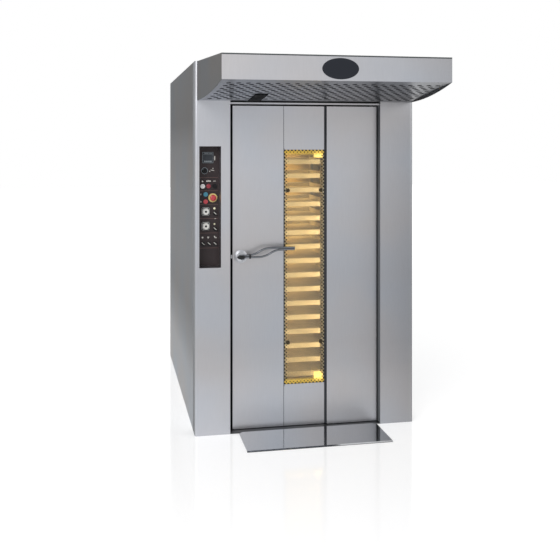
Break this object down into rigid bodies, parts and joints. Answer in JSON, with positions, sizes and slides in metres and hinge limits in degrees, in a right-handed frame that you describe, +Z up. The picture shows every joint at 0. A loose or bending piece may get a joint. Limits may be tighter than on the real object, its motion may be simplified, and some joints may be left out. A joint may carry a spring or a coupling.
{
  "type": "rotating rack oven",
  "caption": "Tall insulated bakery oven with a canopy hood, a hinged door with a narrow window, and a tray rack that hangs from a driven hook and turns in the hot air.",
  "frame": {"origin": "on the floor, under the middle of the whole footprint with the hood", "axes": "+X to the right as seen from the front, +Y to the back, +Z up; the door faces -Y"},
  "size_m": [1.466, 2.943, 2.4],
  "materials": {
    "satin_steel": "satin stainless sheet, brushed upright",
    "grey_steel": "dull grey stainless side sheets",
    "bright_steel": "bright rolled stainless sheet",
    "plate_steel": "plain steel floor plate",
    "insulated_wall": "mineral wool between thin stainless sheets",
    "insulated_door": "mineral wool inside a thin steel tray",
    "seal_rubber": "matt black silicone",
    "badge_plastic": "gloss black",
    "lamp_black": "black powder coat",
    "panel_black": "dark brown-black printed panel",
    "display_grey": "dark grey with a display window",
    "bezel_white": "light grey plastic",
    "lamp_red": "translucent red lens",
    "signal_yellow": "signal yellow",
    "signal_red": "signal red",
    "button_white": "white",
    "button_black": "black",
    "button_blue": "blue",
    "dial_white": "white dial",
    "motor_grey": "grey painted cast aluminium",
    "exchanger_steel": "heat-tinted steel",
    "burner_red": "red cover",
    "rack_steel": "welded stainless tube",
    "tray_aluminium": "plain aluminium sheet",
    "wheel_plastic": "heat-resistant dark brown resin",
    "window_glass": "toughened glass",
    "fixing_dark": "dark screw cap",
    "lamp_glass": "warm lamp cover",
    "handle_white": "polished bright metal"
  },
  "bodies": {
    "cabinet": {"base_frame": "plate_steel", "left_pillar": "satin_steel", "right_pillar": "satin_steel", "door_frame": "insulated_wall", "door_header": "satin_steel", "outer_panels": "grey_steel", "roof_panel": "grey_steel", "chamber_walls": "insulated_wall", "chamber_ceiling": "insulated_wall", "air_duct_panels": "bright_steel", "door_seal": "seal_rubber", "ramp_plate": "bright_steel", "hood_fascia": "satin_steel", "hood_end_panels": "grey_steel", "hood_top_panel": "grey_steel", "hood_grille": "bright_steel", "hood_badge": "badge_plastic", "hood_lamp": "lamp_black", "control_box": "satin_steel", "control_panel": "panel_black", "controller_display": "display_grey", "timer_bezels": "bezel_white", "pilot_lamps": "lamp_red", "emergency_disc": "signal_yellow", "gear_motor": "motor_grey", "heat_exchanger": "exchanger_steel", "fan_motor": "motor_grey", "burner": "burner_red"},
    "door": {"door_left_panel": "satin_steel", "door_middle_panel": "satin_steel", "door_right_panel": "satin_steel", "door_core": "insulated_door", "window_panes": "window_glass", "window_fixings": "fixing_dark", "door_lamps": "lamp_glass", "handle_rosette": "handle_white"},
    "lever": {"lever_handle": "handle_white"},
    "latch": {"latch_roller": "bright_steel"},
    "rack": {"drive_hook": "rack_steel", "rack_frame": "rack_steel", "rack_runners": "rack_steel", "rack_trays": "tray_aluminium"},
    "front_left_wheel": {"front_left_wheel": "wheel_plastic"},
    "front_right_wheel": {"front_right_wheel": "wheel_plastic"},
    "rear_left_wheel": {"rear_left_wheel": "wheel_plastic"},
    "rear_right_wheel": {"rear_right_wheel": "wheel_plastic"},
    "fan": {"fan_wheel": "bright_steel"},
    "thermostat_knob": {"thermostat_knob": "button_black"},
    "upper_timer_dial": {"upper_timer_dial": "dial_white"},
    "lower_timer_dial": {"lower_timer_dial": "dial_white"},
    "upper_selector": {"upper_selector": "button_black"},
    "lower_selector": {"lower_selector": "button_black"},
    "left_selector": {"left_selector": "button_black"},
    "middle_selector": {"middle_selector": "button_black"},
    "right_selector": {"right_selector": "button_black"},
    "white_button": {"white_button": "button_white"},
    "black_button": {"black_button": "button_black"},
    "blue_button": {"blue_button": "button_blue"},
    "red_button": {"red_button": "signal_red"},
    "emergency_button": {"emergency_button": "signal_red"}
  },
  "joints": [
    {"name": "door_swing", "type": "hinge", "parent": "cabinet", "child": "door", "pos_m": [0.463, -0.5875, 1.07], "axis": [0, 0, 1], "range_deg": [0, 95]},
    {"name": "lever_turn", "type": "hinge", "parent": "door", "child": "lever", "pos_m": [-0.428, -0.6625, 1.134], "axis": [0, 1, 0], "range_deg": [0, 45]},
    {"name": "latch_slide", "type": "slide", "parent": "door", "child": "latch", "axis": [1, 0, 0], "range_m": [0, 0.01]},
    {"name": "rack_turn", "type": "hinge", "parent": "cabinet", "child": "rack", "pos_m": [0, 0.12789, 1], "axis": [0, 0, 1], "continuous": true},
    {"name": "front_left_wheel_roll", "type": "hinge", "parent": "rack", "child": "front_left_wheel", "pos_m": [-0.27, -0.20211, 0.068], "axis": [1, 0, 0], "continuous": true},
    {"name": "front_right_wheel_roll", "type": "hinge", "parent": "rack", "child": "front_right_wheel", "pos_m": [0.27, -0.20211, 0.068], "axis": [1, 0, 0], "continuous": true},
    {"name": "rear_left_wheel_roll", "type": "hinge", "parent": "rack", "child": "rear_left_wheel", "pos_m": [-0.27, 0.45789, 0.068], "axis": [1, 0, 0], "continuous": true},
    {"name": "rear_right_wheel_roll", "type": "hinge", "parent": "rack", "child": "rear_right_wheel", "pos_m": [0.27, 0.45789, 0.068], "axis": [1, 0, 0], "continuous": true},
    {"name": "fan_spin", "type": "hinge", "parent": "cabinet", "child": "fan", "pos_m": [0.34, 0.96639, 1.95], "axis": [0, 0, 1], "continuous": true},
    {"name": "thermostat_turn", "type": "hinge", "parent": "cabinet", "child": "thermostat_knob", "pos_m": [-0.659, -0.5425, 1.694], "axis": [0, 1, 0], "range_deg": [0, 270]},
    {"name": "upper_timer_turn", "type": "hinge", "parent": "cabinet", "child": "upper_timer_dial", "pos_m": [-0.652, -0.5425, 1.428], "axis": [0, 1, 0], "range_deg": [0, 300]},
    {"name": "lower_timer_turn", "type": "hinge", "parent": "cabinet", "child": "lower_timer_dial", "pos_m": [-0.652, -0.5425, 1.333], "axis": [0, 1, 0], "range_deg": [0, 300]},
    {"name": "upper_selector_turn", "type": "hinge", "parent": "cabinet", "child": "upper_selector", "pos_m": [-0.59, -0.5425, 1.414], "axis": [0, 1, 0], "range_deg": [0, 90]},
    {"name": "lower_selector_turn", "type": "hinge", "parent": "cabinet", "child": "lower_selector", "pos_m": [-0.59, -0.5425, 1.313], "axis": [0, 1, 0], "range_deg": [0, 90]},
    {"name": "left_selector_turn", "type": "hinge", "parent": "cabinet", "child": "left_selector", "pos_m": [-0.668, -0.5425, 1.217], "axis": [0, 1, 0], "range_deg": [0, 90]},
    {"name": "middle_selector_turn", "type": "hinge", "parent": "cabinet", "child": "middle_selector", "pos_m": [-0.629, -0.5425, 1.217], "axis": [0, 1, 0], "range_deg": [0, 90]},
    {"name": "right_selector_turn", "type": "hinge", "parent": "cabinet", "child": "right_selector", "pos_m": [-0.59, -0.5425, 1.217], "axis": [0, 1, 0], "range_deg": [0, 90]},
    {"name": "white_button_press", "type": "slide", "parent": "cabinet", "child": "white_button", "axis": [0, 1, 0], "range_m": [0, 0.004], "stiffness_N_per_m": 400},
    {"name": "black_button_press", "type": "slide", "parent": "cabinet", "child": "black_button", "axis": [0, 1, 0], "range_m": [0, 0.004], "stiffness_N_per_m": 400},
    {"name": "blue_button_press", "type": "slide", "parent": "cabinet", "child": "blue_button", "axis": [0, 1, 0], "range_m": [0, 0.004], "stiffness_N_per_m": 400},
    {"name": "red_button_press", "type": "slide", "parent": "cabinet", "child": "red_button", "axis": [0, 1, 0], "range_m": [0, 0.004], "stiffness_N_per_m": 400},
    {"name": "emergency_button_press", "type": "slide", "parent": "cabinet", "child": "emergency_button", "axis": [0, 1, 0], "range_m": [0, 0.004]}
  ],
  "couplings": [
    {"joint": "latch_slide", "follows": "lever_turn", "m_per_rad": 0.0127}
  ]
}
